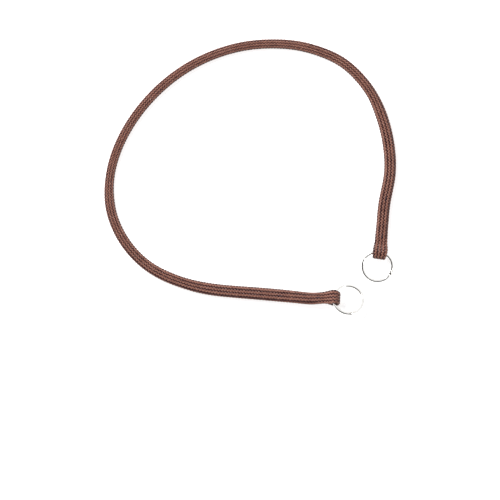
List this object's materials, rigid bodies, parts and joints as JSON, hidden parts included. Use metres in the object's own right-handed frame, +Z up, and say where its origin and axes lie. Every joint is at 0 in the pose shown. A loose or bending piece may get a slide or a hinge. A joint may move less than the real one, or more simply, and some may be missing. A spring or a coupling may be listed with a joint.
{
  "type": "braided slip collar",
  "caption": "Hollow-braided nylon strap lying in an open loop, with a welded steel ring held in the folded and tucked-back end at either side.",
  "frame": {"origin": "under the middle of the bounding box, on the surface that the collar lies on", "axes": "+X to the right and +Y to the top of the loop seen from above, with both rings at the lower right; +Z up off the surface"},
  "size_m": [0.2227, 0.2102, 0.0119],
  "materials": {
    "nylon_braid": "glossy filament nylon, deep maroon brown",
    "nylon_tail": "the same nylon, pressed flat inside the strap",
    "stitch_thread": "bonded polyester thread, dark purple brown",
    "ring_steel": "bright nickel plate"
  },
  "bodies": {
    "strap": {"strap_braid": "nylon_braid", "eye_right": "nylon_braid", "eye_left": "nylon_braid", "tail_right": "nylon_tail", "tail_left": "nylon_tail", "throat_stitch_right": "stitch_thread", "throat_stitch_left": "stitch_thread", "lock_stitch_right": "stitch_thread", "lock_stitch_left": "stitch_thread"},
    "right_ring": {"ring_right": "ring_steel"},
    "left_ring": {"ring_left": "ring_steel"}
  },
  "joints": [
    {"name": "right_ring_swing", "type": "hinge", "parent": "strap", "child": "right_ring", "pos_m": [0.0986, -0.0578, 0.00455], "axis": [-0.9899, 0.1421, 0], "range_deg": [0, 175]},
    {"name": "left_ring_swing", "type": "hinge", "parent": "strap", "child": "left_ring", "pos_m": [0.06412, -0.0924, 0.00602], "axis": [-0.0679, -0.9247, 0.3746], "range_deg": [0, 175]}
  ]
}
